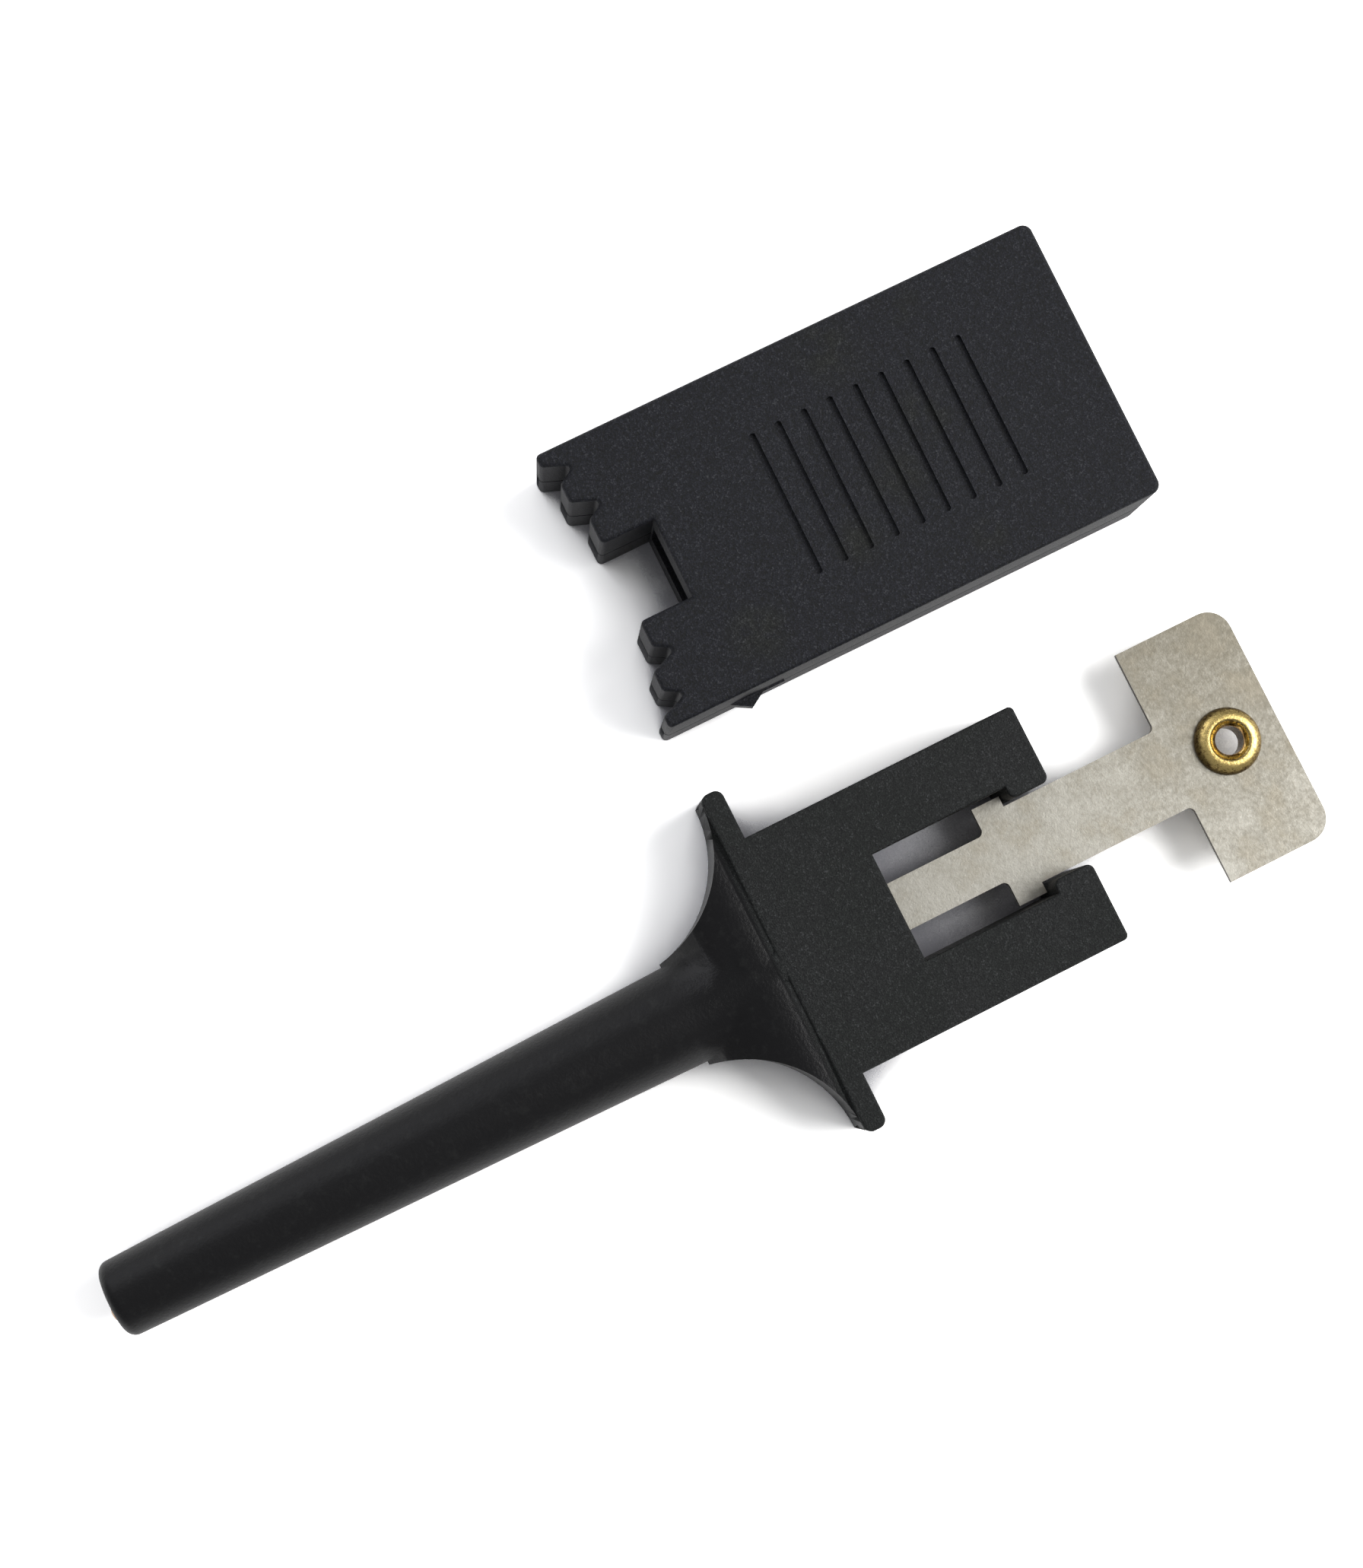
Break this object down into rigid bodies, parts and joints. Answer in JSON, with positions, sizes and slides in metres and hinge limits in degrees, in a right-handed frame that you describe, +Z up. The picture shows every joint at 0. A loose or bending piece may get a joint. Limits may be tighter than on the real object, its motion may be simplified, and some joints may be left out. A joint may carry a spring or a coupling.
{
  "type": "test hook clip",
  "caption": "Flat spring-return test hook clip, shown with its sliding cap pulled off beside the body and its metal strip.",
  "frame": {"origin": "underside of the finger flange, at its middle, on the surface that the clip lies on", "axes": "+X along the clip from its hook to its wire end, +Y across towards the cap that lies beside it, +Z up"},
  "size_m": [0.0508, 0.0288, 0.0054],
  "materials": {
    "black_body_plastic": "fine spark-eroded grain, smooth on the barrel",
    "black_cap_plastic": "fine spark-eroded grain",
    "nickel_strip": "dull nickel plate with faint mottling",
    "rolled_brass": "worn, rolled over",
    "sleeve_brass": "turned",
    "hook_wire_metal": "drawn phosphor bronze",
    "spring_steel": "drawn wire"
  },
  "bodies": {
    "clip": {"clip_body": "black_body_plastic", "return_spring": "spring_steel"},
    "slider": {"contact_strip": "nickel_strip", "eyelet": "rolled_brass", "crimp_sleeve": "sleeve_brass", "hook_wire": "hook_wire_metal"},
    "cap": {"cap": "black_cap_plastic"}
  },
  "joints": [
    {"name": "hook_slide", "type": "slide", "parent": "clip", "child": "slider", "axis": [-1, 0, 0], "range_m": [0, 0.0042], "stiffness_N_per_m": 150, "springref_m": -0.003, "deforming": ["return_spring"]},
    {"name": "cap_slide", "type": "slide", "parent": "clip", "child": "cap", "axis": [1, 0, 0], "range_m": [0, 0.0168]}
  ]
}
